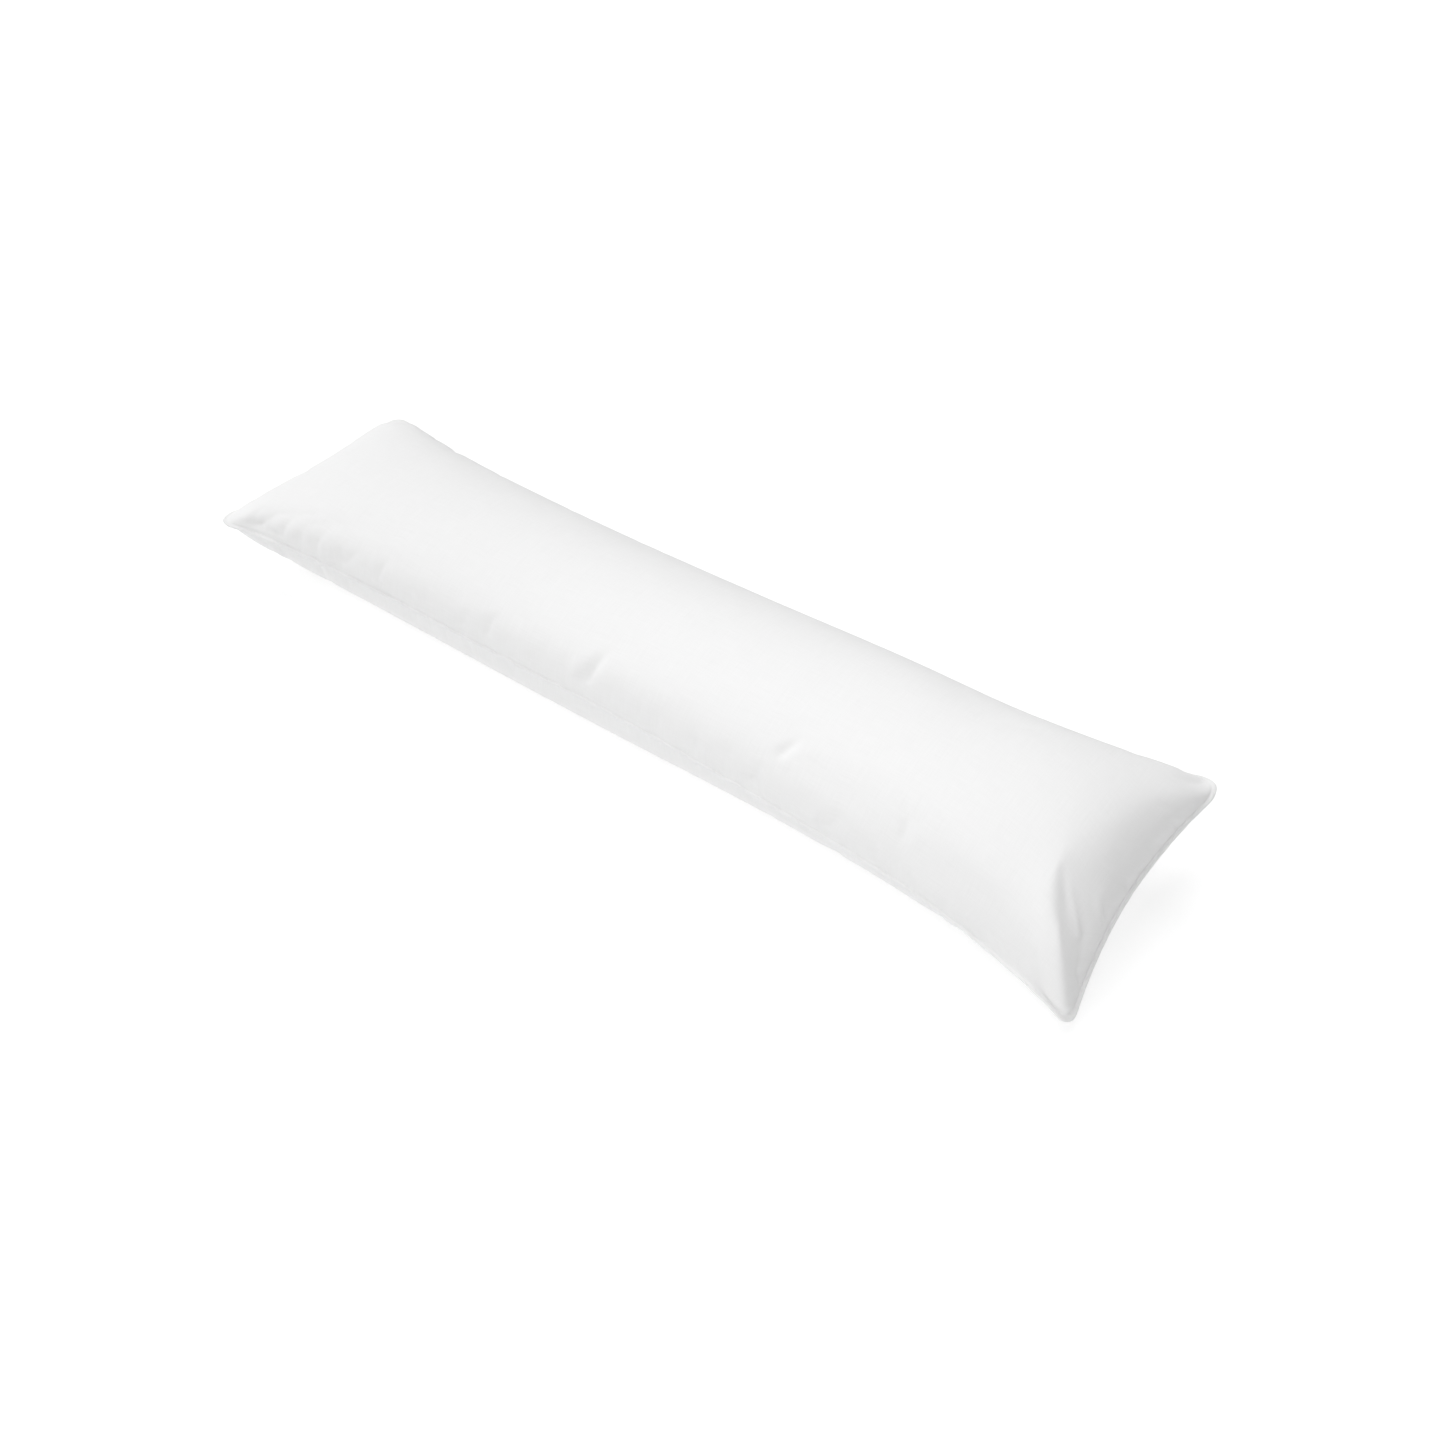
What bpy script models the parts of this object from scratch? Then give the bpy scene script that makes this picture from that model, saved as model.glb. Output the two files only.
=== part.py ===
"""Body pillow: one long bag of plain white cotton, filled and lying on its back.

Two panels are sewn together by one seam all round, and the filling draws the seam
in between the four corners. The long side of the bag runs along X, with the fuller
end at +X. The near long side is at -Y, and the pillow lies on the plane z = 0.
"""

import bpy
import numpy as np

# ---- Size of the filled pillow, in metres ----------------------------------------
LENGTH = 1.420              # between the corners of one long side
WIDTH = 0.380               # between the corners of one end
CORNER_RADIUS = 0.018       # rounding of each sewn corner, seen from above

# ---- The seam ---------------------------------------------------------------------
LIP_WIDTH = 0.004           # flat lip outside the row of stitches
LIP_THICKNESS = 0.0022      # both panels, pressed together

# Side of the seam, how far the filling draws it in at the middle, and how close to
# the -end and the +end of that side it flares out (a higher power is closer).
SIDES = {
    "near": {"drawn_in": 0.046, "flare_minus": 3.7, "flare_plus": 4.7},
    "far": {"drawn_in": 0.050, "flare_minus": 5.5, "flare_plus": 8.3},
    "left": {"drawn_in": 0.018, "flare_minus": 1.5, "flare_plus": 1.5},
    "right": {"drawn_in": 0.025, "flare_minus": 2.0, "flare_plus": 2.0},
}

# ---- The filling ------------------------------------------------------------------
RISE_ABOVE = 0.085          # the upper cloth over the seam, along the middle
RISE_GAIN = 0.014           # the fuller right end has this much more, the left end less
DEPTH_BELOW = 0.099         # the lower cloth under the seam, before the floor stops it
END_POWER_LEFT = 5.3        # the left end slopes down early
END_POWER_RIGHT = 18.0      # the right end is blunt and steep
END_ROUND = 0.44
UPPER_ROUND = 0.352         # roundness of the upper cloth's section: lower is fuller

# Sections along the pillow: place as a share of the half length, height of the seam
# on the near and far long side, and roundness of the lower cloth. The seam sinks
# along the near side and droops to the floor at the near right corner, where the
# lower cloth is drawn nearly straight.
SECTION_COLUMNS = ("place", "near_seam", "far_seam", "lower_round")
SECTIONS = (
    (-1.0, 0.093, 0.082, 0.36),
    (-0.7, 0.083, 0.073, 0.36),
    (-0.3, 0.073, 0.069, 0.36),
    (0.1, 0.073, 0.072, 0.42),
    (0.4, 0.060, 0.077, 0.60),
    (0.7, 0.045, 0.077, 0.76),
    (1.0, 0.019, 0.088, 0.76),
)

# Main creases, drawn on the upper cloth. Places are lengths of cloth: along from mid
# length, and across from the near seam. A crease is strongest at its start and dies
# out at its end. The rise is outwards, so a trough has a negative one.
CREASE_COLUMNS = ("along_start", "across_start", "along_end", "across_end", "half_width", "rise")
CREASES = (
    (0.702, 0.018, 0.612, 0.155, 0.014, 0.008),     # fold from the near right corner
    (0.692, 0.070, 0.640, 0.165, 0.011, -0.006),    # trough beside it, on the end
    (0.692, 0.105, 0.655, 0.180, 0.011, 0.003),     # smaller fold past the trough
    (0.592, 0.018, 0.548, 0.075, 0.013, -0.005),    # puckers that start at the near seam
    (0.411, 0.008, 0.428, 0.050, 0.012, -0.004),
    (0.354, 0.010, 0.378, 0.070, 0.013, -0.004),
    (0.230, 0.008, 0.240, 0.065, 0.012, -0.005),
    (0.250, 0.050, 0.285, 0.120, 0.013, -0.004),
    (-0.043, 0.010, -0.026, 0.085, 0.013, -0.004),
    (-0.162, 0.010, -0.142, 0.075, 0.013, -0.003),
    (-0.228, 0.008, -0.206, 0.070, 0.013, -0.003),
    (-0.466, 0.008, -0.515, 0.050, 0.012, -0.006),
    (-0.642, 0.012, -0.570, 0.038, 0.012, -0.006),  # hollow at the near left corner
    (0.419, 0.276, 0.480, 0.286, 0.026, -0.004),    # soft dent behind the crown
    (0.419, 0.276, 0.350, 0.268, 0.026, -0.004),
)

# ---- Mesh -------------------------------------------------------------------------
STEPS_ALONG = 88
STEPS_ACROSS = 24
CROWDING_ALONG = 0.55       # 0 spaces the steps evenly, 1 crowds them at the edges
CROWDING_ACROSS = 0.75


def stations(half, steps, crowding):
    """Places from -half to half: edge, stitch line, crowded steps, stitch line, edge."""
    even = np.linspace(-1.0, 1.0, steps - 1)
    eased = (1.0 - crowding) * even + crowding * np.sin(even * np.pi / 2.0)
    inner = eased * (half - LIP_WIDTH)
    return np.concatenate([[-half], inner, [half]])


def rounded_corners(x, y):
    """Pull the grid's square corners onto the corner arcs."""
    out_x = np.abs(x) - (LENGTH / 2.0 - CORNER_RADIUS)
    out_y = np.abs(y) - (WIDTH / 2.0 - CORNER_RADIUS)
    in_corner = (out_x > 0.0) & (out_y > 0.0)
    reach = np.where(in_corner, np.hypot(out_x, out_y), 1.0)
    pull = np.where(in_corner, np.maximum(out_x, out_y) / reach, 1.0)
    x = np.where(in_corner, np.sign(x) * (LENGTH / 2.0 - CORNER_RADIUS + out_x * pull), x)
    y = np.where(in_corner, np.sign(y) * (WIDTH / 2.0 - CORNER_RADIUS + out_y * pull), y)
    return x, y


def drawn_in(side, place):
    """How far one side of the seam is pulled in, at a place from -1 to 1 along it."""
    row = SIDES[side]
    power = np.where(place < 0.0, row["flare_minus"], row["flare_plus"])
    return row["drawn_in"] * (1.0 - np.abs(place) ** power)


def seam_plan(x, y):
    """Plan of the filled bag: the flat panel's points, with each side drawn in."""
    along = x / (LENGTH / 2.0)
    across = y / (WIDTH / 2.0)
    half_length = LENGTH / 2.0 - np.where(
        along < 0.0, drawn_in("left", across), drawn_in("right", across))
    half_width = WIDTH / 2.0 - np.where(
        across < 0.0, drawn_in("near", along), drawn_in("far", along))
    return along * half_length, across * half_width


def section(column, along):
    """Smooth curve through one column of the sections, at places from -1 to 1."""
    places = np.array([row[0] for row in SECTIONS])
    values = np.array([row[SECTION_COLUMNS.index(column)] for row in SECTIONS])
    slopes = np.gradient(values, places)
    first = np.clip(np.searchsorted(places, along, side="right") - 1, 0, len(places) - 2)
    step = places[first + 1] - places[first]
    share = (along - places[first]) / step
    ease = share ** 2 * (3.0 - 2.0 * share)
    start_bend = share * (1.0 - share) ** 2 * step * slopes[first]
    end_bend = share ** 2 * (share - 1.0) * step * slopes[first + 1]
    return values[first] * (1.0 - ease) + values[first + 1] * ease + start_bend + end_bend


def seam_height(x, y):
    """Height of the seam's surface, which the two panels bulge away from."""
    along = x / (LENGTH / 2.0)
    far_share = (1.0 + y / (WIDTH / 2.0)) / 2.0
    return section("near_seam", along) * (1.0 - far_share) + section("far_seam", along) * far_share


def end_fullness(x):
    """Share of the full height along the pillow, 0 on the end seams' stitches."""
    along = np.clip(np.abs(x) / (LENGTH / 2.0 - LIP_WIDTH), 0.0, 1.0)
    power = np.where(x < 0.0, END_POWER_LEFT, END_POWER_RIGHT)
    return (1.0 - along ** power) ** END_ROUND


def side_fullness(y, roundness):
    """Share of the full height across the pillow, 0 on the long seams' stitches."""
    across = np.clip(np.abs(y) / (WIDTH / 2.0 - LIP_WIDTH), 0.0, 1.0)
    return (1.0 - across ** 2) ** roundness


def outward(points):
    """Unit normals of a grid of points, upwards for the upper cloth."""
    normal = np.cross(np.gradient(points, axis=0), np.gradient(points, axis=1))
    return normal / np.linalg.norm(normal, axis=2, keepdims=True)


def cloth_lengths(points):
    """Length of cloth from mid length, and from the near seam, to each grid point."""
    step_along = np.linalg.norm(np.diff(points, axis=0), axis=2)
    step_across = np.linalg.norm(np.diff(points, axis=1), axis=2)
    along = np.pad(np.cumsum(step_along, axis=0), ((1, 0), (0, 0)))
    across = np.pad(np.cumsum(step_across, axis=1), ((0, 0), (1, 0)))
    return along - along[len(along) // 2], across


def crease_rise(along, across):
    """Sum of the creases' rise at places on the upper cloth."""
    rise = np.zeros(along.shape)
    for row in CREASES:
        crease = dict(zip(CREASE_COLUMNS, row))
        run_x = crease["along_end"] - crease["along_start"]
        run_y = crease["across_end"] - crease["across_start"]
        off_x = along - crease["along_start"]
        off_y = across - crease["across_start"]
        share = np.clip((off_x * run_x + off_y * run_y) / (run_x ** 2 + run_y ** 2), 0.0, 1.0)
        gap = np.hypot(off_x - share * run_x, off_y - share * run_y)
        rise += crease["rise"] * (1.0 - share ** 2) * np.exp(-(gap / crease["half_width"]) ** 2)
    return rise


def cloth_faces():
    """Upper and lower grids of points, which meet along the lip."""
    along = stations(LENGTH / 2.0, STEPS_ALONG, CROWDING_ALONG)
    across = stations(WIDTH / 2.0, STEPS_ACROSS, CROWDING_ACROSS)
    grid_x, grid_y = np.meshgrid(along, across, indexing="ij")
    panel_x, panel_y = rounded_corners(grid_x, grid_y)
    plan_x, plan_y = seam_plan(panel_x, panel_y)
    seam = seam_height(panel_x, panel_y)
    place = grid_x / (LENGTH / 2.0)
    full_end = end_fullness(grid_x)

    full = full_end * side_fullness(grid_y, UPPER_ROUND)
    top_z = seam + LIP_THICKNESS / 2.0 + (RISE_ABOVE + RISE_GAIN * place) * full
    upper = np.stack([plan_x, plan_y, top_z], axis=2)
    rise = crease_rise(*cloth_lengths(upper)) * (full > 0.0)
    upper += outward(upper) * rise[..., None]

    full = full_end * side_fullness(grid_y, section("lower_round", place))
    under_z = seam - LIP_THICKNESS / 2.0 - DEPTH_BELOW * full
    lower = np.stack([plan_x, plan_y, np.maximum(under_z, 0.0)], axis=2)
    return upper, lower


def grid_quads(rows, columns, first, flipped):
    """Quads of one cloth face, wound so that its normals point out of the bag."""
    quads = []
    for i in range(rows - 1):
        for j in range(columns - 1):
            a = first + i * columns + j
            quad = (a, a + columns, a + columns + 1, a + 1)
            quads.append(quad[::-1] if flipped else quad)
    return quads


def rim_indices(rows, columns):
    """Grid indices once round the edge, counter-clockwise seen from above."""
    near = [i * columns for i in range(rows)]
    right = [(rows - 1) * columns + j for j in range(1, columns)]
    far = [i * columns + columns - 1 for i in range(rows - 2, -1, -1)]
    left = [j for j in range(columns - 2, 0, -1)]
    return near + right + far + left


def pillow_mesh():
    """One closed skin: upper cloth, lower cloth, and the edge of the lip."""
    upper, lower = cloth_faces()
    rows, columns = upper.shape[:2]
    below = rows * columns
    quads = grid_quads(rows, columns, 0, False) + grid_quads(rows, columns, below, True)
    rim = rim_indices(rows, columns)
    for a, b in zip(rim, rim[1:] + rim[:1]):
        quads.append((a, a + below, b + below, b))
    points = np.concatenate([upper.reshape(-1, 3), lower.reshape(-1, 3)])
    points[:, :2] -= (points[:, :2].min(axis=0) + points[:, :2].max(axis=0)) / 2.0
    mesh = bpy.data.meshes.new("pillow")
    mesh.from_pydata(points.tolist(), [], quads)
    mesh.update()
    mesh.shade_smooth()
    return mesh


def cotton():
    """Plain-woven white cotton."""
    material = bpy.data.materials.new("white cotton")
    material.use_nodes = True
    shader = material.node_tree.nodes["Principled BSDF"]
    shader.inputs["Base Color"].default_value = (0.90, 0.90, 0.90, 1.0)
    shader.inputs["Roughness"].default_value = 0.9
    shader.inputs["Metallic"].default_value = 0.0
    return material


for old in list(bpy.data.objects):
    bpy.data.objects.remove(old)

pillow = bpy.data.objects.new("pillow", pillow_mesh())
pillow.data.materials.append(cotton())
bpy.context.scene.collection.objects.link(pillow)
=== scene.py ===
import math
import bpy
import numpy as np
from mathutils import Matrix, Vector


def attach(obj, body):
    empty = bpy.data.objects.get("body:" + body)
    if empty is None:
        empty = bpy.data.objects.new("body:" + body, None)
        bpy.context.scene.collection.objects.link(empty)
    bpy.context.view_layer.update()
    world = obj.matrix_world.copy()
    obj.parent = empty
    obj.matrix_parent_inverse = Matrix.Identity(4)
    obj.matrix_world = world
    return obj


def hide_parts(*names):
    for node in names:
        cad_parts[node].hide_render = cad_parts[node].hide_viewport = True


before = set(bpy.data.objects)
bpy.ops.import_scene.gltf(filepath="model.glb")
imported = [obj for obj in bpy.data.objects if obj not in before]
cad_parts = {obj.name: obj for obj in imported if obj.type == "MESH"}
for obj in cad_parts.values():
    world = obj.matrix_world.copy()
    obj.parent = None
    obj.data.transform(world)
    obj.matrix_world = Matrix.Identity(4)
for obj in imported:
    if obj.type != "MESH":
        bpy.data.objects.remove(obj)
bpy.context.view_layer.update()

# ---- Cover and filling --------------------------------------------------------------
# Two panels of plain-woven white cotton, sewn together all round with a narrow lip
# outside the stitches, then filled with hollow fibre. The filling bulges both panels
# and draws the seam in between the four corners. The pillow lies on its back.
LENGTH = 1.420                  # between the corners of one long side, in metres
WIDTH = 0.380                   # between the corners of one end
LIP_WIDTH = 0.0055
# Distance in from the sewn edge, and half the thickness of the two panels there
LIP_PROFILE = ((0.0, 0.0004), (0.0007, 0.0014), (0.0018, 0.0019), (0.0032, 0.0021),
               (0.0045, 0.0021), (LIP_WIDTH, 0.0024))
LIP_RINGS = len(LIP_PROFILE) - 1
# Waves of the lip out of its plane: height, length and direction in degrees
LIP_WAVES = ((0.0005, 0.041, 12), (0.0004, 0.027, 101), (0.0003, 0.017, 55))
OFF_FLOOR = 0.004               # the lip does not wave where it is within this of the floor

# How far the filling draws in each side of the seam, and how close to the two ends of
# that side the seam flares out again (a higher power is closer)
SIDES = {
    "near": {"drawn_in": 0.0424, "flare_minus": 3.7, "flare_plus": 4.8},
    "far": {"drawn_in": 0.0495, "flare_minus": 5.5, "flare_plus": 8.3},
    "left": {"drawn_in": 0.018, "flare_minus": 1.5, "flare_plus": 1.5},
    "right": {"drawn_in": 0.025, "flare_minus": 2.0, "flare_plus": 2.0},
}
# Each corner ends in a rounded ear of empty cloth: radius of its edge, how far from the
# tip the filling begins, the share of filling missing round it, how far the ear stands
# out along, across and up, and how far from its tip it starts to do so. The key says
# which way along and across the corner lies.
EARS = {
    (-1, -1): {"radius": 0.031, "empty": 0.032, "thin": 0.0,
               "out": (0.002, 0.008, 0.0037), "reach": 0.055},
    (-1, 1): {"radius": 0.046, "empty": 0.036, "thin": 0.0,
              "out": (0.0016, -0.0022, 0.0046), "reach": 0.153},
    (1, 1): {"radius": 0.0516, "empty": 0.044, "thin": 0.57,
             "out": (0.0095, 0.0054, 0.0161), "reach": 0.123},
    (1, -1): {"radius": 0.023, "empty": 0.024, "thin": 0.0,
              "out": (-0.0013, -0.0028, -0.0058), "reach": 0.057},
}
EMPTY_POWER = 2.2               # how suddenly the filling begins past the empty tip
THIN_REACH = 0.12               # how far from the tip the thinner filling reaches
TIP_REACH, TIP_PASSES = 0.04, 8         # each tip is smoothed over this far, this many times

RISE_ABOVE = 0.0854             # upper panel over the seam, along the middle
RISE_GAIN = 0.014               # the fuller right end has this much more
DEPTH_BELOW = 0.099             # lower panel under the seam, before the floor stops it
END_POWER_LEFT = 5.3            # the left end slopes down early
END_POWER_RIGHT = 18.0          # the right end is blunt and steep
END_ROUND = 0.44                # a lower power is a rounder, fuller edge
UPPER_ROUND = 0.352
# Sections along the pillow: place as a share of the half length, height of the near and
# far seam, roundness of the lower panel
SECTIONS = np.array((
    (-1.0, 0.093, 0.082, 0.33),
    (-0.7, 0.078, 0.073, 0.37),
    (-0.3, 0.069, 0.069, 0.38),
    (0.1, 0.071, 0.072, 0.395),
    (0.4, 0.060, 0.077, 0.60),
    (0.7, 0.047, 0.077, 0.71),
    (1.0, 0.015, 0.093, 0.83),
))
NEAR_SEAM, FAR_SEAM, LOWER_ROUND = 1, 2, 3      # columns of the sections

# Creases of the upper panel, in lengths of cloth: along from mid length and across from
# the near seam, start and end, half width, and rise outwards (a trough has a minus)
CREASES = (
    (0.680, 0.032, 0.590, 0.138, 0.028, 0.0120),    # the near right corner turns sharply
    (0.694, 0.018, 0.618, 0.120, 0.008, 0.0030),    # fold along that turn
    (0.712, 0.056, 0.648, 0.136, 0.020, -0.0060),   # trough beside it, on the end
    (0.676, 0.100, 0.628, 0.145, 0.0042, 0.0028),    # small folds past the trough
    (0.703, 0.122, 0.660, 0.157, 0.0045, 0.0026),
    (0.652, 0.076, 0.636, 0.108, 0.0035, 0.0018),
    (0.593, 0.020, 0.560, 0.043, 0.008, -0.0035),   # puckers from the near seam, right
    (0.434, 0.064, 0.427, 0.094, 0.006, -0.0020),   # to left
    (0.396, 0.003, 0.402, 0.044, 0.009, -0.0055),
    (0.330, 0.003, 0.356, 0.058, 0.009, -0.0055),
    (0.312, 0.006, 0.321, 0.044, 0.006, 0.0018),
    (0.248, 0.076, 0.264, 0.108, 0.007, -0.0030),
    (0.222, 0.030, 0.218, 0.060, 0.006, 0.0015),
    (0.213, 0.004, 0.232, 0.052, 0.008, -0.0055),
    (0.126, 0.006, 0.138, 0.044, 0.008, -0.0030),
    (0.068, 0.014, 0.074, 0.060, 0.009, -0.0030),
    (-0.046, 0.038, -0.033, 0.092, 0.009, -0.0050),
    (-0.070, 0.030, -0.070, 0.066, 0.007, 0.0020),
    (-0.152, 0.010, -0.140, 0.040, 0.007, -0.0035),
    (-0.224, 0.028, -0.220, 0.064, 0.007, -0.0040),
    (-0.271, 0.010, -0.262, 0.052, 0.008, -0.0040),
    (-0.428, 0.026, -0.422, 0.062, 0.007, -0.0035),
    (-0.498, 0.014, -0.466, 0.055, 0.008, -0.0040),
    (-0.520, 0.006, -0.490, 0.045, 0.009, -0.0060),
    (-0.648, 0.004, -0.600, 0.024, 0.009, -0.0045),
    (-0.545, 0.020, -0.536, 0.070, 0.006, -0.0022),
    (-0.574, 0.012, -0.578, 0.052, 0.007, -0.0026),
    (-0.612, 0.012, -0.600, 0.062, 0.007, -0.0030),
    (-0.655, 0.020, -0.624, 0.050, 0.008, -0.0024),
    (-0.682, 0.004, -0.620, 0.032, 0.010, -0.0050),  # hollow at the near left corner
    (0.419, 0.276, 0.480, 0.286, 0.034, -0.0018),   # soft dent behind the highest part
    (0.419, 0.276, 0.350, 0.268, 0.034, -0.0018),
)
# Small puckers that the thread draws all along the seam: shortest and longest gap
# between two, length, half width and depth, in metres, and the most that one slants
# from square to the seam. None starts right at a corner.
PUCKERS = {"gap": (0.020, 0.052), "length": (0.022, 0.075), "half_width": (0.005, 0.010),
           "depth": (0.0016, 0.0046), "slant": 0.45, "after_corner": 0.02, "before_corner": 0.03}
CREASE_TAPER = 1.5              # how soon a crease fades towards its far end
STEPS_ALONG, STEPS_ACROSS = 200, 50     # while the filling settles; then twice as many


def end_fullness(x):
    """Share of the full height along the pillow, 0 on the end seams' stitches."""
    along = np.clip(np.abs(x) / (LENGTH / 2 - LIP_WIDTH), 0, 1)
    return (1 - along ** np.where(x < 0, END_POWER_LEFT, END_POWER_RIGHT)) ** END_ROUND


def side_fullness(y, roundness):
    """Share of the full height across the pillow, 0 on the long seams' stitches."""
    across = np.clip(np.abs(y) / (WIDTH / 2 - LIP_WIDTH), 0, 1)
    return (1 - across ** 2) ** roundness


def evenly_spaced(half, bulge, steps):
    """Places from edge to edge: the lip, then even lengths of the bulging cloth."""
    stitched = half - LIP_WIDTH
    samples = 4001                  # enough to measure the cloth's length along the curve
    swing = np.sin(np.linspace(-math.pi / 2, math.pi / 2, samples)) * stitched
    run = np.cumsum(np.hypot(np.diff(swing, prepend=swing[0]), np.diff(bulge(swing), prepend=0)))
    inner = np.interp(np.linspace(0, run[-1], steps + 1), run, swing)
    lip = np.array([half - row[0] for row in LIP_PROFILE[:-1]])
    return np.concatenate([-lip, inner, lip[::-1]])


def section(column, along):
    """Smooth curve through one column of the sections, at places from -1 to 1."""
    places, values = SECTIONS[:, 0], SECTIONS[:, column]
    slopes = np.gradient(values, places)
    first = np.clip(np.searchsorted(places, along, side="right") - 1, 0, len(places) - 2)
    step = places[first + 1] - places[first]
    share = (along - places[first]) / step
    ease = share ** 2 * (3 - 2 * share)
    bend = share * (1 - share) * step * ((1 - share) * slopes[first] - share * slopes[first + 1])
    return values[first] * (1 - ease) + values[first + 1] * ease + bend


def drawn_in(side, place):
    """How far one side of the seam is pulled in, at a place from -1 to 1 along it."""
    row = SIDES[side]
    return row["drawn_in"] * (1 - np.abs(place) ** np.where(
        place < 0, row["flare_minus"], row["flare_plus"]))


def from_edge(rows, columns):
    """Number of grid steps from each point of a panel to its nearest edge."""
    row, column = np.indices((rows, columns))
    return np.minimum.reduce([row, column, rows - 1 - row, columns - 1 - column])


def lip_wave(points, finer):
    """How far the edge of the cloth waves up or down at each grid point."""
    wave = 0
    for height, length, turn in LIP_WAVES:
        turn = math.radians(turn)
        place = points[..., 0] * math.cos(turn) + points[..., 1] * math.sin(turn)
        wave = wave + height * np.sin(2 * math.pi / length * place)
    inside = from_edge(*points.shape[:2]) - LIP_RINGS
    off_floor = np.clip((points[..., 2] - OFF_FLOOR) / OFF_FLOOR, 0, 1)
    return wave * np.clip(1 - inside / (2 * finer), 0, 1) * off_floor


def filled_form(finer):
    """Upper and lower panels of the filled bag, as grids of points that meet at the edge."""
    x, y = np.meshgrid(
        evenly_spaced(LENGTH / 2, lambda p: RISE_ABOVE * end_fullness(p), finer * STEPS_ALONG),
        evenly_spaced(WIDTH / 2, lambda p: RISE_ABOVE * side_fullness(p, UPPER_ROUND),
                      finer * STEPS_ACROSS),
        indexing="ij")
    place = x / (LENGTH / 2)
    full_end = end_fullness(x)
    upper_full = full_end * side_fullness(y, UPPER_ROUND)
    lower_full = full_end * side_fullness(y, section(LOWER_ROUND, place))
    half_thick = np.interp(
        np.minimum(LENGTH / 2 - np.abs(x), WIDTH / 2 - np.abs(y)), *zip(*LIP_PROFILE))
    reached, ear_out, near_tip = 1, 0, 0
    for (to_right, to_far), ear in EARS.items():
        from_tip = np.hypot(LENGTH / 2 - x * to_right, WIDTH / 2 - y * to_far)
        reached = reached * (1 - np.exp(-(from_tip / ear["empty"]) ** EMPTY_POWER)) * (
            1 - ear["thin"] * np.exp(-(from_tip / THIN_REACH) ** 2))
        near_tip = near_tip + np.exp(-(from_tip / TIP_REACH) ** 2)
        ear_out = ear_out + (np.exp(-(from_tip / ear["reach"]) ** 2)[..., None]
                             * np.array(ear["out"]) * (to_right, to_far, 1))
    for (to_right, to_far), ear in EARS.items():
        past_x = x * to_right - (LENGTH / 2 - ear["radius"])        # round the sewn corner
        past_y = y * to_far - (WIDTH / 2 - ear["radius"])
        in_corner = (past_x > 0) & (past_y > 0)
        pull = np.maximum(past_x, past_y) / np.where(in_corner, np.hypot(past_x, past_y), 1)
        x = np.where(in_corner, to_right * (LENGTH / 2 - ear["radius"] + past_x * pull), x)
        y = np.where(in_corner, to_far * (WIDTH / 2 - ear["radius"] + past_y * pull), y)

    along, across = x / (LENGTH / 2), y / (WIDTH / 2)
    plan_x = along * (LENGTH / 2 - np.where(
        along < 0, drawn_in("left", across), drawn_in("right", across)))
    plan_y = across * (WIDTH / 2 - np.where(
        across < 0, drawn_in("near", along), drawn_in("far", along)))
    seam = (section(NEAR_SEAM, along) * (1 - across) / 2
            + section(FAR_SEAM, along) * (1 + across) / 2 + ear_out[..., 2])
    upper_z = seam + half_thick + (RISE_ABOVE + RISE_GAIN * place) * upper_full * reached
    lower_z = np.maximum(seam - half_thick - DEPTH_BELOW * lower_full * reached, 0)
    panels = np.stack([np.stack([plan_x, plan_y, z], axis=2) for z in (upper_z, lower_z)])
    eased = near_tip * (from_edge(*x.shape) > LIP_RINGS)
    for _ in range(TIP_PASSES * finer ** 2):
        around = (panels[:, 2:, 1:-1] + panels[:, :-2, 1:-1]
                  + panels[:, 1:-1, 2:] + panels[:, 1:-1, :-2]) / 4
        panels[:, 1:-1, 1:-1] += (around - panels[:, 1:-1, 1:-1]) * eased[1:-1, 1:-1, None]
    middle = (panels.reshape(-1, 3).min(axis=0) + panels.reshape(-1, 3).max(axis=0)) / 2
    panels[..., :2] += ear_out[..., :2] - middle[:2]
    panels[..., 2] += lip_wave(panels.mean(axis=0), finer)
    return panels


def cloth_lengths(points):
    """Length of cloth from mid length, and from the near seam, to each grid point."""
    step_along = np.linalg.norm(np.diff(points, axis=0), axis=2)
    step_across = np.linalg.norm(np.diff(points, axis=1), axis=2)
    along = np.pad(np.cumsum(step_along, axis=0), ((1, 0), (0, 0)))
    across = np.pad(np.cumsum(step_across, axis=1), ((0, 0), (1, 0)))
    return along - along[len(along) // 2], across


def seam_puckers(along, across, chance):
    """Small troughs that start at the stitches all round one panel, as rows of creases."""
    sides = (                       # each seam: its cloth lengths and the way into the panel
        (along[:, 0], across[:, 0], (0, 1)), (along[:, -1], across[:, -1], (0, -1)),
        (along[0], across[0], (1, 0)), (along[-1], across[-1], (-1, 0)))
    rows = []
    for seam_x, seam_y, inwards in sides:
        run = np.concatenate([[0], np.cumsum(np.hypot(np.diff(seam_x), np.diff(seam_y)))])
        at = chance.uniform(*PUCKERS["gap"]) + PUCKERS["after_corner"]
        while at < run[-1] - PUCKERS["before_corner"]:
            start_x, start_y = np.interp(at, run, seam_x), np.interp(at, run, seam_y)
            length = chance.uniform(*PUCKERS["length"])
            slant = chance.normal(0, PUCKERS["slant"] / 2) * length
            half_width = chance.uniform(*PUCKERS["half_width"])
            depth = chance.uniform(*PUCKERS["depth"])
            rows.append((start_x, start_y,
                         start_x + inwards[0] * length + inwards[1] * slant,
                         start_y + inwards[1] * length + inwards[0] * slant,
                         half_width, -depth))
            at += chance.uniform(*PUCKERS["gap"])
    return rows


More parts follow.
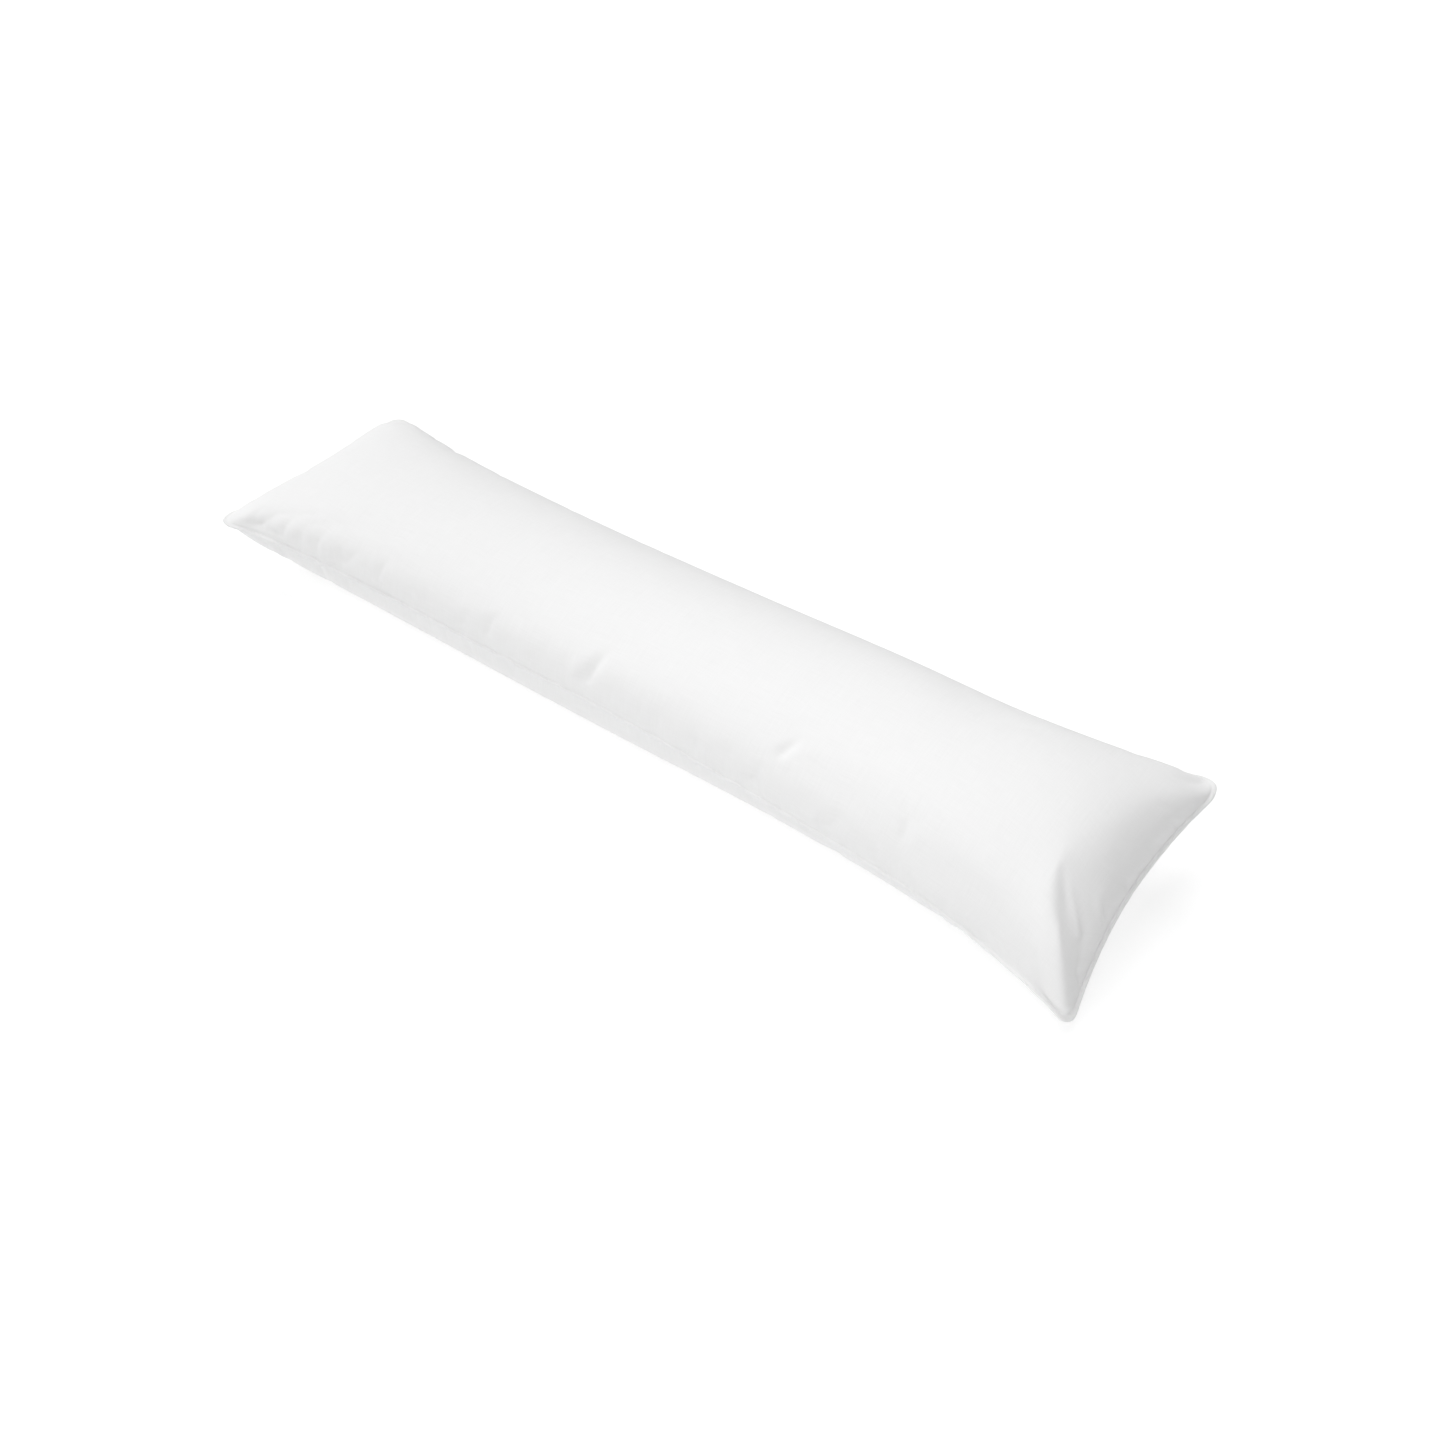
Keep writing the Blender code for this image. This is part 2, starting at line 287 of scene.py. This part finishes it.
def crease_rise(along, across, creases):
    """Sum of the creases' rise at places on one panel."""
    rise = np.zeros(along.shape)
    for start_x, start_y, end_x, end_y, half_width, height in creases:
        run_x, run_y = end_x - start_x, end_y - start_y
        off_x, off_y = along - start_x, across - start_y
        share = np.clip((off_x * run_x + off_y * run_y) / (run_x ** 2 + run_y ** 2), 0, 1)
        gap = np.hypot(off_x - share * run_x, off_y - share * run_y)
        rise += height * (1 - share ** 2) ** CREASE_TAPER * np.exp(-(gap / half_width) ** 2)
    return rise


def outward(points):
    """Unit normals of a grid of points, upwards for the upper panel."""
    normal = np.cross(np.gradient(points, axis=0), np.gradient(points, axis=1))
    return normal / np.linalg.norm(normal, axis=2, keepdims=True)


def bag_mesh(name, panels):
    """One closed skin of both panels and the edge of the lip, with cloth lengths as UVs."""
    rows, columns = panels.shape[1:3]
    below = rows * columns
    corner = (np.arange(rows - 1)[:, None] * columns + np.arange(columns - 1)).reshape(-1, 1)
    upper = corner + np.array([0, columns, columns + 1, 1])
    near = [i * columns for i in range(rows)]
    right = [(rows - 1) * columns + j for j in range(1, columns)]
    far = [i * columns + columns - 1 for i in range(rows - 2, -1, -1)]
    left = list(range(columns - 2, 0, -1))
    rim = np.array(near + right + far + left)
    ahead = np.roll(rim, -1)
    edge = np.stack([rim, rim + below, ahead + below, ahead], axis=1)
    quads = np.concatenate([upper, upper[:, ::-1] + below, edge])
    mesh = bpy.data.meshes.new(name)
    mesh.from_pydata(panels.reshape(-1, 3).tolist(), [], quads.tolist())
    mesh.update()
    mesh.shade_smooth()
    lengths = np.concatenate([np.stack(cloth_lengths(p), axis=2).reshape(-1, 2) for p in panels])
    lengths[below:, 1] *= -1
    corners = quads.copy()
    corners[-len(edge):, 1:3] -= below
    mesh.uv_layers.new(name="cloth").uv.foreach_set("vector", lengths[corners].astype("f").ravel())
    return mesh


def crease(panels, upper_creases, puckers):
    """Move the points of both panels out or in along the creases and the seam's puckers."""
    first, last = LIP_RINGS, -1 - LIP_RINGS
    for panel, outwards, creases in zip(panels, (1, -1), (list(upper_creases), [])):
        along, across = cloth_lengths(panel)
        if puckers:
            creases = creases + seam_puckers(along, across, puckers)
        from_stitches = np.minimum.reduce([
            along - along[first], along[last] - along,
            across - across[:, first, None], across[:, last, None] - across])
        free = 1 - np.exp(-(np.maximum(from_stitches, 0) / SEWN_FLAT) ** 2)
        free *= panel[..., 2] > 0
        panel += outward(panel) * (crease_rise(along, across, creases) * free * outwards)[..., None]
        panel[..., 2] = np.maximum(panel[..., 2], 0)
    return panels


def settled(panels):
    """How far each point moves as the filling pushes from inside and the loose cloth settles."""
    bag = bpy.data.objects.new("settling_bag", bag_mesh("settling_bag", panels))
    bpy.context.scene.collection.objects.link(bag)
    sewn_down = from_edge(*panels.shape[1:3]) <= LIP_RINGS
    held = np.stack([sewn_down, sewn_down | (panels[1, ..., 2] <= 0)])
    across = np.stack([cloth_lengths(panel)[1] for panel in panels])
    from_seam = np.minimum(across, across[..., -1:] - across)
    slack = np.exp(-((from_seam - LOOSE_FROM_SEAM) / LOOSE_BAND) ** 2)
    for name, share in (("held", held), ("slack", slack)):
        group = bag.vertex_groups.new(name=name)
        for index, weight in enumerate(share.ravel().tolist()):
            group.add([index], weight, "REPLACE")
    cloth = bag.modifiers.new("cloth", "CLOTH")
    cotton = cloth.settings
    cotton.vertex_group_mass = "held"
    cotton.vertex_group_shrink = "slack"
    cotton.shrink_min, cotton.shrink_max = 0.0, -LOOSE_CLOTH
    cotton.tension_stiffness = cotton.compression_stiffness = 80
    cotton.shear_stiffness = 15
    cotton.bending_stiffness = 0.02
    cotton.use_pressure = True
    cotton.uniform_pressure_force = 1.0
    cotton.effector_weights.gravity = 0
    cloth.collision_settings.use_collision = False
    cloth.point_cache.frame_end = SETTLING_FRAMES
    for frame_number in range(1, SETTLING_FRAMES + 1):
        bpy.context.scene.frame_set(frame_number)
    pushed = bag.evaluated_get(bpy.context.evaluated_depsgraph_get()).to_mesh()
    points = np.empty(panels.size, "f")
    pushed.vertices.foreach_get("co", points)
    bpy.data.objects.remove(bag)
    bpy.context.scene.frame_set(1)
    moved = points.reshape(panels.shape) - panels
    far = np.linalg.norm(moved, axis=-1, keepdims=True)
    tips = panels[0, [0, 0, -1, -1], [0, -1, 0, -1]]
    from_tip = np.linalg.norm(panels[:, :, :, None] - tips, axis=-1).min(axis=-1, keepdims=True)
    filled = 1 - np.exp(-(from_tip / STILL_REACH) ** 2)     # nothing pushes in the empty tips
    return moved * filled * np.minimum(1, FARTHEST_PUSH / np.maximum(far, 1e-9))


def on_finer_grid(moved):
    """The same movement, smoothed, on a grid with twice as many steps inside the lip."""
    moved = moved[:, LIP_RINGS:-LIP_RINGS, LIP_RINGS:-LIP_RINGS]
    for axis in (1, 2):
        coarse = np.moveaxis(moved, axis, 0)
        fine = np.repeat(coarse, 2, axis=0)[:-1]
        fine[2:-2:2] = (coarse[:-2] + 6 * coarse[1:-1] + coarse[2:]) / 8
        fine[1::2] = (coarse[:-1] + coarse[1:]) / 2
        moved = np.moveaxis(fine, 0, axis)
    edge = (LIP_RINGS, LIP_RINGS)
    return np.pad(moved, ((0, 0), edge, edge, (0, 0)))


LOOSE_CLOTH = 0.025             # share of spare cloth, most of it in a band near the seams
LOOSE_FROM_SEAM, LOOSE_BAND = 0.03, 0.03
FARTHEST_PUSH = 0.006           # no point moves further than this
STILL_REACH = 0.05
SETTLING_FRAMES = 20
SEWN_FLAT = 0.008               # the seam holds the cloth flat this far in from its stitches

panels = crease(filled_form(2), CREASES, np.random.default_rng(12))
panels += on_finer_grid(settled(crease(filled_form(1), CREASES, None)))
panels[1, ..., 2] = np.maximum(panels[1, ..., 2], 0)

pillow = bpy.data.objects.new("body_pillow", bag_mesh("body_pillow", panels))
bpy.context.scene.collection.objects.link(pillow)


YARN = 0.00045                  # from one yarn of the weave to the next


def woven_cotton():
    """Plain weave of fine yarns, slightly uneven, with a soft matt face."""
    cotton = bpy.data.materials.new("woven white cotton")
    cotton.use_nodes = True
    nodes, links = cotton.node_tree.nodes, cotton.node_tree.links
    shader = nodes["Principled BSDF"]
    shader.inputs["Roughness"].default_value = 0.88
    shader.inputs["Sheen Weight"].default_value = 0.12
    shader.inputs["Sheen Roughness"].default_value = 0.45
    shader.inputs["Specular IOR Level"].default_value = 0.25

    cloth = nodes.new("ShaderNodeUVMap")
    cloth.uv_map = "cloth"

    def yarn_noise(across_scale, along_scale, turned):
        """Uneven yarns: noise stretched along one direction of the cloth."""
        stretch = nodes.new("ShaderNodeMapping")
        scale = (along_scale, across_scale, 1)
        stretch.inputs["Scale"].default_value = (across_scale, along_scale, 1) if turned else scale
        links.new(cloth.outputs["UV"], stretch.inputs["Vector"])
        noise = nodes.new("ShaderNodeTexNoise")
        noise.inputs["Scale"].default_value = 1.0
        noise.inputs["Detail"].default_value = 2.0
        links.new(stretch.outputs["Vector"], noise.inputs["Vector"])
        return noise.outputs["Fac"]

    def combine(operation, first, second):
        node = nodes.new("ShaderNodeMath")
        node.operation = operation
        for socket, value in zip(node.inputs, (first, second)):
            if isinstance(value, (int, float)):
                socket.default_value = value
            else:
                links.new(value, socket)
        return node.outputs["Value"]

    # warp over weft and weft over warp, and so on
    split = nodes.new("ShaderNodeSeparateXYZ")
    links.new(cloth.outputs["UV"], split.inputs["Vector"])
    warp = combine("SINE", combine("MULTIPLY", split.outputs["X"], math.pi / YARN), 0)
    weft = combine("SINE", combine("MULTIPLY", split.outputs["Y"], math.pi / YARN), 0)
    crossing = combine("MULTIPLY", warp, weft)
    slubs = combine("ADD", yarn_noise(900, 25, False), yarn_noise(900, 25, True))
    yarns = combine("ADD", combine("MULTIPLY", crossing, 0.35), slubs)
    handled = combine("ADD", yarn_noise(160, 45, False), yarn_noise(160, 45, True))

    soft = nodes.new("ShaderNodeBump")
    soft.inputs["Strength"].default_value = 0.2
    soft.inputs["Distance"].default_value = 0.0006
    links.new(handled, soft.inputs["Height"])
    weave = nodes.new("ShaderNodeBump")
    weave.inputs["Strength"].default_value = 0.4
    weave.inputs["Distance"].default_value = 0.00008
    links.new(yarns, weave.inputs["Height"])
    links.new(soft.outputs["Normal"], weave.inputs["Normal"])
    links.new(weave.outputs["Normal"], shader.inputs["Normal"])

    tint = nodes.new("ShaderNodeMapRange")
    tint.inputs["From Min"].default_value = 0.6
    tint.inputs["From Max"].default_value = 1.4
    links.new(slubs, tint.inputs["Value"])
    colour = nodes.new("ShaderNodeMix")
    colour.data_type = "RGBA"
    colour.inputs["A"].default_value = (0.83, 0.83, 0.83, 1)
    colour.inputs["B"].default_value = (0.87, 0.87, 0.87, 1)
    links.new(tint.outputs["Result"], colour.inputs["Factor"])
    links.new(colour.outputs["Result"], shader.inputs["Base Color"])
    return cotton


pillow.data.materials.append(woven_cotton())
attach(pillow, "root")
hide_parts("pillow")

# ---- Stitches -------------------------------------------------------------------------
# One row of machine stitches in white cotton thread holds the two panels together, all
# round the lip and a few millimetres in from its edge. Each shows on both faces.
STITCH_PITCH, STITCH_LENGTH = 0.0033, 0.0027
STITCH_SLANT = math.radians(7)
THREAD_RADIUS = 0.00026
# Place along a stitch as a share of its length, thickness there as a share of the
# thread's, and rise above the cloth: the ends dive into the needle holes
STITCH_SHAPE = ((-0.5, 0.0, -0.0002), (-0.4, 0.8, 0.0), (0.0, 1.0, 0.00014),
                (0.4, 0.8, 0.0), (0.5, 0.0, -0.0002))
STITCH_SIDES = 6
STITCHED_RING = 3               # place in LIP_PROFILE that the needle follows


def round_the_lip(points, ring):
    """The points of one ring of the lip, in order all the way round and closed."""
    last_row, last_column = points.shape[0] - 1 - ring, points.shape[1] - 1 - ring
    return np.concatenate([
        points[ring:last_row, ring], points[last_row, ring:last_column],
        points[last_row:ring:-1, last_column], points[ring, last_column:ring:-1],
        points[ring, ring][None]])


def unit(vectors):
    return vectors / np.linalg.norm(vectors, axis=-1, keepdims=True)


def stitch_row(panel, outwards):
    """Points of every stitch on one face of the lip: stitch, ring of the thread, side."""
    path = round_the_lip(panel, STITCHED_RING)
    up = round_the_lip(outward(panel) * outwards, STITCHED_RING)
    run = np.concatenate([[0], np.cumsum(np.linalg.norm(np.diff(path, axis=0), axis=1))])
    count = int(run[-1] / STITCH_PITCH)
    middles = (np.arange(count) + 0.5) * run[-1] / count

    def along(values, at):
        return np.stack([np.interp(at, run, values[:, axis]) for axis in range(3)], axis=1)

    centre, up = along(path, middles), unit(along(up, middles))
    half = STITCH_LENGTH / 2
    ahead = unit(along(path, middles + half) - along(path, middles - half))
    beside = unit(np.cross(up, ahead))
    ahead = ahead * math.cos(STITCH_SLANT) + beside * math.sin(STITCH_SLANT)
    beside = np.cross(up, ahead)
    turn = np.linspace(0, 2 * math.pi, STITCH_SIDES, endpoint=False)
    rings = []
    for place, thick, rise in STITCH_SHAPE:
        spoke = (np.cos(turn)[:, None] * beside[:, None] + np.sin(turn)[:, None] * up[:, None])
        rings.append((centre + ahead * place * STITCH_LENGTH + up * rise)[:, None]
                     + spoke * thick * THREAD_RADIUS)
    return np.stack(rings, axis=1)


def thread_mesh(name, rows):
    """One mesh of closed stitches, with a point at each end, and length and turn as UVs."""
    stitches = np.concatenate(rows)
    count, rings = stitches.shape[:2]
    points = np.concatenate([                       # first tip, the full rings, last tip
        stitches[:, :1, 0], stitches[:, 1:-1].reshape(count, -1, 3), stitches[:, -1:, 0]], axis=1)
    side = np.arange(STITCH_SIDES)
    after = (side + 1) % STITCH_SIDES
    last_ring, last_tip = 1 + (rings - 3) * STITCH_SIDES, points.shape[1] - 1
    caps = np.concatenate([
        np.stack([0 * side, 1 + after, 1 + side], axis=1),
        np.stack([0 * side + last_tip, last_ring + side, last_ring + after], axis=1)])
    walls = np.concatenate([
        np.stack([side, after, after + STITCH_SIDES, side + STITCH_SIDES], axis=1)
        + 1 + ring * STITCH_SIDES for ring in range(rings - 3)])
    start = (np.arange(count) * points.shape[1])[:, None, None]
    faces = (caps + start).reshape(-1, 3).tolist() + (walls + start).reshape(-1, 4).tolist()
    mesh = bpy.data.meshes.new(name)
    mesh.from_pydata(points.reshape(-1, 3).tolist(), [], faces)
    mesh.update()
    mesh.shade_smooth()
    place = np.array([row[0] for row in STITCH_SHAPE]) * STITCH_LENGTH
    length = np.concatenate([place[:1], np.repeat(place[1:-1], STITCH_SIDES), place[-1:]])
    around = np.concatenate([[0.5], np.tile(side / STITCH_SIDES, rings - 2), [0.5]])
    corner = np.empty(len(mesh.loops), "i")
    mesh.loops.foreach_get("vertex_index", corner)
    corner %= points.shape[1]
    lengths = np.stack([length[corner], around[corner]], axis=1)
    mesh.uv_layers.new(name="thread").uv.foreach_set("vector", lengths.astype("f").ravel())
    return mesh


TWIST = 0.0009                  # length of one twist of the thread


def twisted_thread():
    """Two plies of white cotton, twisted, which catch the light a little more than cloth."""
    thread = bpy.data.materials.new("twisted white thread")
    thread.use_nodes = True
    nodes, links = thread.node_tree.nodes, thread.node_tree.links
    shader = nodes["Principled BSDF"]
    shader.inputs["Roughness"].default_value = 0.62
    shader.inputs["Sheen Weight"].default_value = 0.2
    length = nodes.new("ShaderNodeUVMap")
    length.uv_map = "thread"
    turned = nodes.new("ShaderNodeMapping")
    turned.inputs["Scale"].default_value = (1 / TWIST, 1.0, 1.0)
    turned.inputs["Rotation"].default_value = (0, 0, math.radians(30))
    plies = nodes.new("ShaderNodeTexWave")
    plies.inputs["Scale"].default_value = 0.6
    plies.inputs["Distortion"].default_value = 0.4
    tint = nodes.new("ShaderNodeMix")
    tint.data_type = "RGBA"
    tint.inputs["A"].default_value = (0.80, 0.80, 0.79, 1)
    tint.inputs["B"].default_value = (0.88, 0.88, 0.87, 1)
    groove = nodes.new("ShaderNodeBump")
    groove.inputs["Strength"].default_value = 0.5
    groove.inputs["Distance"].default_value = 0.00006
    links.new(length.outputs["UV"], turned.inputs["Vector"])
    links.new(turned.outputs["Vector"], plies.inputs["Vector"])
    links.new(plies.outputs["Fac"], tint.inputs["Factor"])
    links.new(plies.outputs["Fac"], groove.inputs["Height"])
    links.new(tint.outputs["Result"], shader.inputs["Base Color"])
    links.new(groove.outputs["Normal"], shader.inputs["Normal"])
    return thread


stitching = bpy.data.objects.new("seam_stitches", thread_mesh(
    "seam_stitches", [stitch_row(panel, outwards) for panel, outwards in zip(panels, (1, -1))]))
bpy.context.scene.collection.objects.link(stitching)
stitching.data.materials.append(twisted_thread())
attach(stitching, "root")

# ---- Studio ---------------------------------------------------------------------------
# A white table that glows a little, as a light table does, and a plain white wall
# round it, far enough away to cast no light or shadow on the pillow.
def white_stage(name, points, faces, glow):
    """One plain white surface of the studio, lit a little from within."""
    mesh = bpy.data.meshes.new(name)
    mesh.from_pydata(points, [], faces)
    paint = bpy.data.materials.new(name)
    paint.use_nodes = True
    shader = paint.node_tree.nodes["Principled BSDF"]
    shader.inputs["Base Color"].default_value = (0.5, 0.5, 0.5, 1)
    shader.inputs["Roughness"].default_value = 1.0
    shader.inputs["Emission Color"].default_value = (1, 1, 1, 1)
    shader.inputs["Emission Strength"].default_value = glow
    mesh.materials.append(paint)
    surface = bpy.data.objects.new(name, mesh)
    bpy.context.scene.collection.objects.link(surface)
    return surface


STUDIO_RADIUS, WALL_HEIGHT, SIDES_ROUND = 9.0, 8.0, 96
turns = np.linspace(0, 2 * math.pi, SIDES_ROUND, endpoint=False)
circle = np.stack([np.cos(turns), np.sin(turns)], axis=1) * STUDIO_RADIUS
foot = [(x, y, 0) for x, y in circle]
head = [(x, y, WALL_HEIGHT) for x, y in circle]
white_stage("floor", foot, [tuple(range(SIDES_ROUND))], 0.56)
wall_faces = [((i + 1) % SIDES_ROUND, i, i + SIDES_ROUND, (i + 1) % SIDES_ROUND + SIDES_ROUND)
              for i in range(SIDES_ROUND)]
wall = white_stage("studio_wall", foot + head, wall_faces, 1.0)
wall.visible_diffuse = wall.visible_glossy = wall.visible_shadow = False

# ---- Light ----------------------------------------------------------------------------
# Three wide soft lamps: high behind the left end, high at the front right, and low at
# the front left. The right end of the pillow is left in soft shade. A small soft box
# hangs over the fuller half of the pillow.
room = bpy.data.worlds.new("room")
room.use_nodes = True
room.node_tree.nodes["Background"].inputs["Color"].default_value = (1, 1, 1, 1)
room.node_tree.nodes["Background"].inputs["Strength"].default_value = 0.02
bpy.context.scene.world = room
bpy.context.scene.view_settings.view_transform = "Standard"


def place_lamp(name, kind, strength, place, aim):
    """A lamp of one kind at a place, turned to face a point."""
    lamp = bpy.data.lights.new(name, kind)
    lamp.energy = strength
    stand = bpy.data.objects.new(name, lamp)
    stand.location = place
    stand.rotation_mode = "QUATERNION"
    stand.rotation_quaternion = (Vector(aim) - Vector(place)).to_track_quat("-Z", "Y")
    bpy.context.scene.collection.objects.link(stand)
    return lamp


# Each lamp: name, direction round from the near side, height in degrees, strength
LAMPS = (
    ("back left lamp", 225, 55, 1.95),
    ("front right lamp", 45, 55, 1.46),
    ("front left lamp", 315, 25, 0.97),
)
LAMP_SPREAD = math.radians(50)
for name, turn, tilt, strength in LAMPS:
    turn, tilt = math.radians(turn), math.radians(tilt)
    stand_at = (math.sin(turn) * math.cos(tilt), -math.cos(turn) * math.cos(tilt), math.sin(tilt))
    place_lamp(name, "SUN", strength, stand_at, (0, 0, 0)).angle = LAMP_SPREAD
place_lamp("soft box", "AREA", 0.19, (0.29, -0.35, 0.60), (0.26, -0.05, 0.14)).size = 0.4

# ---- Camera ---------------------------------------------------------------------------
# Stands off the near right corner and looks down along the pillow.
TURN, TILT, DISTANCE = math.radians(36.62), math.radians(43.96), 2.012
LOOKS_AT = Vector((0.1218, -0.0561, 0.06))
lens_at = Vector((
    math.sin(TURN) * math.cos(TILT), -math.cos(TURN) * math.cos(TILT), math.sin(TILT)))
camera = bpy.data.objects.new("camera", bpy.data.cameras.new("camera"))
camera.data.sensor_width = 36
camera.data.lens = 38.26
camera.location = LOOKS_AT + lens_at * DISTANCE
camera.rotation_mode = "QUATERNION"
camera.rotation_quaternion = (-lens_at).to_track_quat("-Z", "Y")
bpy.context.scene.collection.objects.link(camera)
bpy.context.scene.camera = camera
